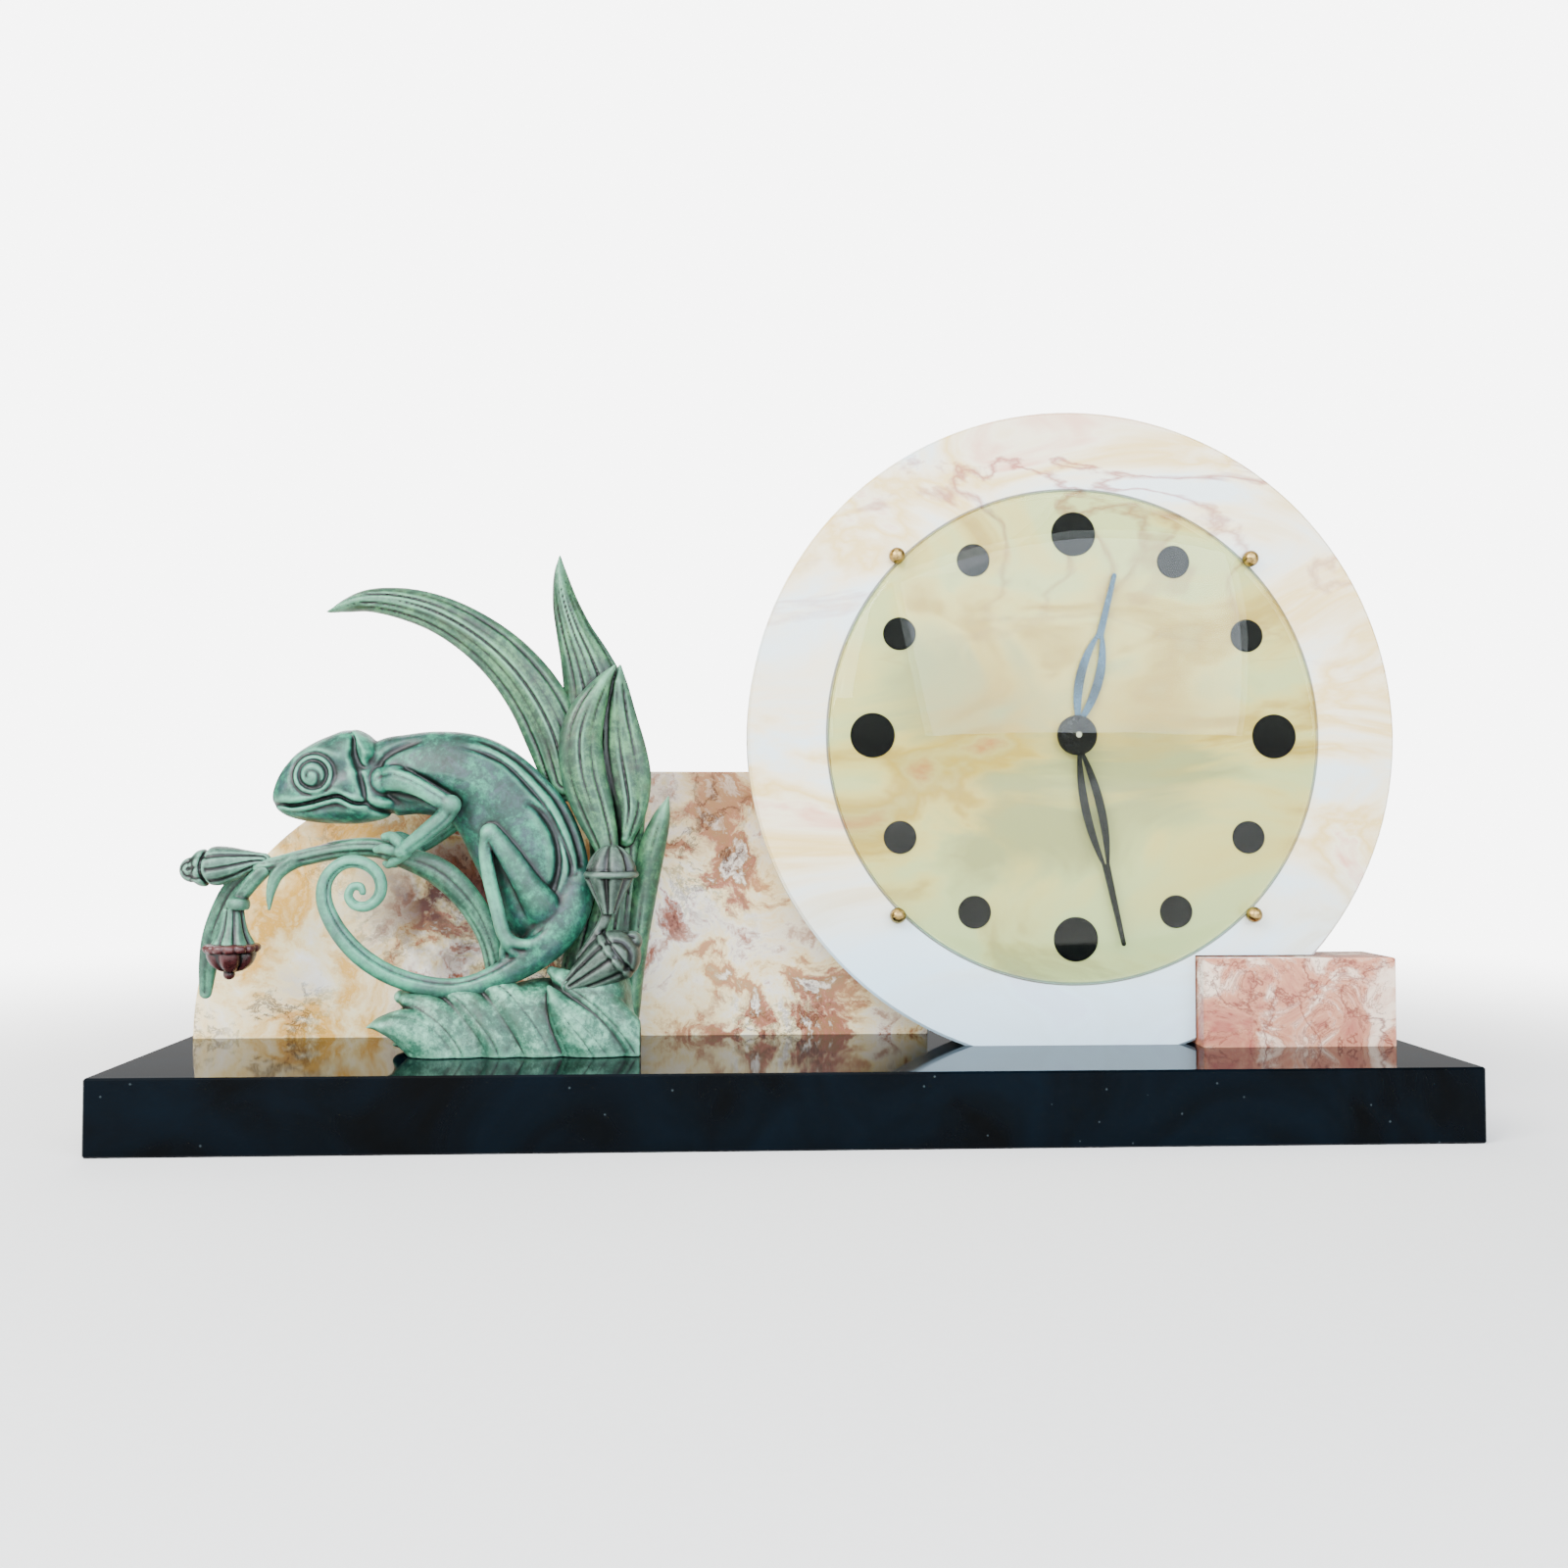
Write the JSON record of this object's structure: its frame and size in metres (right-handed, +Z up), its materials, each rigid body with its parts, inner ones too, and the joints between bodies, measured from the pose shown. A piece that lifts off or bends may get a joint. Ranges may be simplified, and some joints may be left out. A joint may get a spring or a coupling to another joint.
{
  "type": "mantel clock",
  "caption": "Art Deco mantel clock: onyx dial disc, marble panel and black base, with a cast chameleon on a branch among leaves and a wound movement behind the dial.",
  "frame": {"origin": "middle of the base's underside", "axes": "+X to the right seen from the front, +Y towards the back, +Z up"},
  "size_m": [0.56, 0.13, 0.3177],
  "materials": {
    "base_marble": "polished black marble",
    "panel_marble": "polished red and ochre breccia marble",
    "onyx": "polished cream onyx with pink and yellow veins",
    "block_marble": "polished pink marble",
    "black_dots": "polished black inlay",
    "dial_glass": "clear domed glass",
    "stud_brass": "aged brass",
    "plain_steel": "plain steel",
    "screw_steel": "polished steel",
    "key_steel": "nickel-plated steel",
    "spring_steel": "tempered spring steel",
    "hand_steel": "blued and blackened steel",
    "hand_cap": "gloss black",
    "wheel_brass": "cut and polished brass",
    "plate_brass": "brushed brass",
    "cover_brass": "spun brass",
    "chameleon_patina": "green patinated cast metal",
    "plant_patina": "pale green patinated cast metal"
  },
  "bodies": {
    "root": {"arching_leaf": "plant_patina", "back_panel": "panel_marble", "back_plate": "plate_brass", "balance_cock": "plate_brass", "base_slab": "base_marble", "branch": "plant_patina", "chameleon_body": "chameleon_patina", "chameleon_tail": "chameleon_patina", "clock_disc": "onyx", "dial_glass": "dial_glass", "drooping_leaf": "plant_patina", "dust_cover": "cover_brass", "flower_bud": "plant_patina", "foot_foliage": "plant_patina", "front_plate": "plate_brass", "glass_studs": "stud_brass", "hanging_flower": "plant_patina", "hour_dot_01": "black_dots", "hour_dot_02": "black_dots", "hour_dot_03": "black_dots", "hour_dot_04": "black_dots", "hour_dot_05": "black_dots", "hour_dot_06": "black_dots", "hour_dot_07": "black_dots", "hour_dot_08": "black_dots", "hour_dot_09": "black_dots", "hour_dot_10": "black_dots", "hour_dot_11": "black_dots", "hour_dot_12": "black_dots", "movement_screws": "screw_steel", "plate_pillars": "plate_brass", "rod_nuts": "plain_steel", "rod_washers": "plain_steel", "seed_pods": "plant_patina", "side_block": "block_marble", "side_leaf": "plant_patina", "tall_leaf": "plant_patina", "threaded_rods": "plain_steel"},
    "minute_group": {"minute_hand": "hand_steel", "hand_cap": "hand_cap", "centre_arbor": "plain_steel", "cannon_pinion": "plain_steel", "set_knob": "stud_brass"},
    "hour_group": {"hour_hand": "hand_steel", "hour_wheel": "wheel_brass"},
    "motion_wheel": {"minute_wheel": "wheel_brass"},
    "winding_group": {"barrel_arbor": "plain_steel", "ratchet_wheel": "plain_steel", "winding_key": "key_steel"},
    "barrel_group": {"barrel": "wheel_brass", "mainspring": "spring_steel"},
    "intermediate_arbor": {"intermediate_wheel": "wheel_brass"},
    "centre_group": {"centre_wheel": "wheel_brass"},
    "third_arbor": {"third_wheel": "wheel_brass"},
    "fourth_arbor": {"fourth_wheel": "wheel_brass"},
    "escape_arbor": {"escape_wheel": "wheel_brass"},
    "pallets": {"pallet_lever": "plain_steel"},
    "balance": {"balance_wheel": "wheel_brass", "hairspring": "spring_steel"},
    "click_pawl": {"click": "plain_steel"}
  },
  "joints": [
    {"name": "minute_hand_turn", "type": "hinge", "parent": "root", "child": "minute_group", "pos_m": [0.1275, -0.0058, 0.17], "axis": [0, 1, 0], "continuous": true},
    {"name": "hour_hand_turn", "type": "hinge", "parent": "root", "child": "hour_group", "pos_m": [0.1275, -0.004, 0.17], "axis": [0, 1, 0], "continuous": true},
    {"name": "motion_wheel_turn", "type": "hinge", "parent": "root", "child": "motion_wheel", "pos_m": [0.1335, 0.017, 0.18039], "axis": [0, 1, 0], "continuous": true},
    {"name": "winding", "type": "hinge", "parent": "root", "child": "winding_group", "pos_m": [0.10841, 0.058, 0.15091], "axis": [0, 1, 0], "continuous": true},
    {"name": "fourth_wheel_turn", "type": "hinge", "parent": "root", "child": "fourth_arbor", "pos_m": [0.14346, 0.0315, 0.18797], "axis": [0, 1, 0], "continuous": true},
    {"name": "barrel_turn", "type": "hinge", "parent": "root", "child": "barrel_group", "pos_m": [0.10841, 0.025, 0.15091], "axis": [0, 1, 0], "continuous": true},
    {"name": "intermediate_turn", "type": "hinge", "parent": "root", "child": "intermediate_arbor", "pos_m": [0.13516, 0.0386, 0.14726], "axis": [0, 1, 0], "continuous": true},
    {"name": "centre_wheel_turn", "type": "hinge", "parent": "root", "child": "centre_group", "pos_m": [0.1275, 0.023, 0.17], "axis": [0, 1, 0], "continuous": true},
    {"name": "third_wheel_turn", "type": "hinge", "parent": "root", "child": "third_arbor", "pos_m": [0.15, 0.0275, 0.17], "axis": [0, 1, 0], "continuous": true},
    {"name": "escape_turn", "type": "hinge", "parent": "root", "child": "escape_arbor", "pos_m": [0.12899, 0.0355, 0.19324], "axis": [0, 1, 0], "continuous": true},
    {"name": "pallet_rock", "type": "hinge", "parent": "root", "child": "pallets", "pos_m": [0.11717, 0.0355, 0.19532], "axis": [0, 1, 0], "range_deg": [-5, 5]},
    {"name": "balance_swing", "type": "hinge", "parent": "root", "child": "balance", "pos_m": [0.10535, 0.0438, 0.19324], "axis": [0, 1, 0], "range_deg": [-220, 220], "stiffness_Nm_per_rad": 0.00005},
    {"name": "click_lift", "type": "hinge", "parent": "root", "child": "click_pawl", "pos_m": [0.09391, 0.0432, 0.15091], "axis": [0, 1, 0], "range_deg": [-15, 0], "stiffness_Nm_per_rad": 0.001, "springref_deg": 4.98}
  ],
  "couplings": [
    {"joint": "hour_hand_turn", "follows": "minute_hand_turn", "ratio": 0.083333},
    {"joint": "motion_wheel_turn", "follows": "minute_hand_turn", "ratio": -0.33333},
    {"joint": "third_wheel_turn", "follows": "fourth_wheel_turn", "ratio": -0.13333},
    {"joint": "centre_wheel_turn", "follows": "fourth_wheel_turn", "ratio": 0.016667},
    {"joint": "intermediate_turn", "follows": "fourth_wheel_turn", "ratio": -0.0041667},
    {"joint": "barrel_turn", "follows": "fourth_wheel_turn", "ratio": 0.00064103},
    {"joint": "escape_turn", "follows": "fourth_wheel_turn", "ratio": -10}
  ]
}
